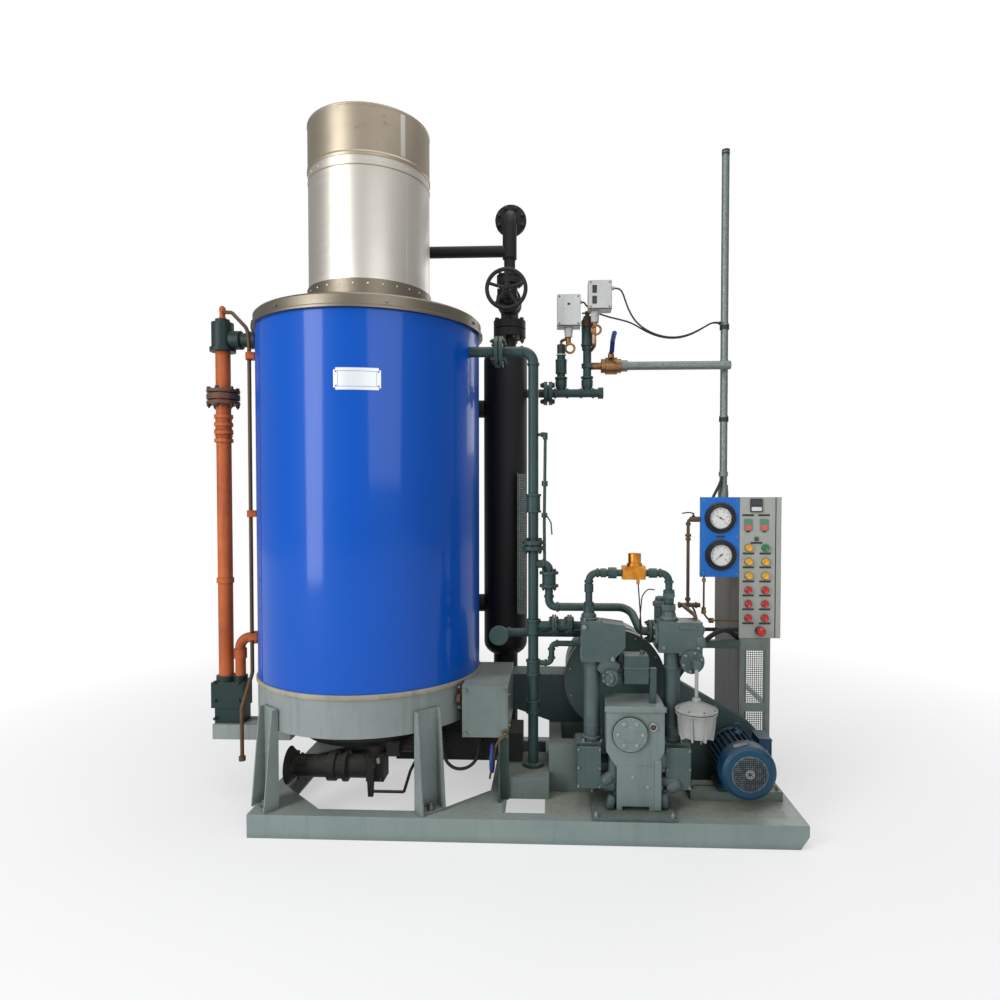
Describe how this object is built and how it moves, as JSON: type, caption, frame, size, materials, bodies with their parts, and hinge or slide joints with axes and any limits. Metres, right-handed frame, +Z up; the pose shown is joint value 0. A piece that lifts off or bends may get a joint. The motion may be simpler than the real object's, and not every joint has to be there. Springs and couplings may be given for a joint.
{
  "type": "steam generator",
  "caption": "Skid-mounted coil steam generator with a vertical round boiler, stack, steam separator, feed pump, belt-driven fan, motor and control panel.",
  "frame": {"origin": "middle of the skid's underside, on the floor", "axes": "+X along the skid from the boiler to the control panel, +Y away from the operator's side, +Z up"},
  "size_m": [2.4899, 0.982, 2.98],
  "materials": {
    "grey_steel": "satin grey paint",
    "blue_jacket": "glossy blue paint",
    "stainless": "satin stainless sheet, a little rust",
    "band_white": "off-white bead",
    "machine_green": "dark grey-green machine enamel",
    "black_steel": "black heat-resistant paint",
    "primer_pipe": "orange-brown primer",
    "casting_green": "green casting enamel",
    "brass": "cast brass",
    "blue_parts": "blue enamel",
    "motor_blue": "motor blue enamel",
    "silver_cast": "silver casting",
    "panel_grey": "light grey powder coat",
    "stand_grey": "grey-green paint",
    "plate_blue": "blue paint",
    "gauge_black": "black rims, white dials",
    "lamp_caps": "coloured caps",
    "tube_brown": "brown weathered tube",
    "galvanised": "galvanised steel",
    "cable_black": "black rubber"
  },
  "bodies": {
    "generator": {"skid_frame": "grey_steel", "deck_plate": "grey_steel", "boiler_legs": "grey_steel", "boiler_skirt": "grey_steel", "skirt_band": "band_white", "boiler_jacket": "blue_jacket", "boiler_lid": "stainless", "stack_lower": "stainless", "stack_upper": "stainless", "burner_housing": "black_steel", "gas_train": "black_steel", "upper_water_tee": "casting_green", "lower_water_block": "casting_green", "left_water_pipes": "primer_pipe", "pipe_bracket": "grey_steel", "drain_tube": "tube_brown", "air_duct": "machine_green", "fan_casing": "machine_green", "air_cover_box": "machine_green", "equipment_base": "machine_green", "belt_guard": "machine_green", "fuel_valve_post": "machine_green", "steam_separator": "black_steel", "stop_valve": "black_steel", "steam_riser": "black_steel", "relief_header": "machine_green", "pressure_switches": "silver_cast", "switch_siphons": "brass", "ball_valve": "brass", "discharge_pipe": "galvanised", "conduit": "galvanised", "coil_outlet_pipe": "machine_green", "pump_base_plate": "machine_green", "pump_crankcase": "machine_green", "pump_columns": "machine_green", "pump_heads": "machine_green", "bypass_pipes": "galvanised", "brass_regulator": "brass", "oil_pump_box": "machine_green", "pump_discharge_pipe": "machine_green", "suction_pipe": "machine_green", "feed_pipes": "machine_green", "actuator": "silver_cast", "head_side_cover": "machine_green", "motor_body": "motor_blue", "motor_fan_cover": "motor_blue", "motor_rails": "grey_steel", "panel_stand": "stand_grey", "panel_case": "panel_grey", "gauge_plate": "plate_blue", "pressure_gauges": "gauge_black", "panel_buttons": "lamp_caps", "separator_guard": "galvanised", "gauge_line": "tube_brown", "switch_cables": "cable_black", "burner_hose": "cable_black"},
    "stop_handwheel": {"stop_handwheel": "black_steel"},
    "ball_valve_lever": {"ball_valve_lever": "blue_parts"},
    "fuel_handwheel": {"fuel_handwheel": "blue_parts"},
    "panel_door": {"panel_door": "panel_grey"}
  },
  "joints": [
    {"name": "stop_handwheel_turn", "type": "hinge", "parent": "generator", "child": "stop_handwheel", "pos_m": [-0.095, 0.062, 2.231], "axis": [0, 1, 0], "range_deg": [-720, 0]},
    {"name": "ball_valve_quarter_turn", "type": "hinge", "parent": "generator", "child": "ball_valve_lever", "pos_m": [0.3915, 0.32, 1.993], "axis": [0, 0, 1], "range_deg": [0, 90]},
    {"name": "fuel_handwheel_turn", "type": "hinge", "parent": "generator", "child": "fuel_handwheel", "pos_m": [-0.129, -0.294, 0.264], "axis": [1, 0, 0], "range_deg": [-720, 0]},
    {"name": "panel_door_hinge", "type": "hinge", "parent": "generator", "child": "panel_door", "pos_m": [1.085, 0.437, 1], "axis": [0, 0, 1], "range_deg": [0, 110]}
  ]
}
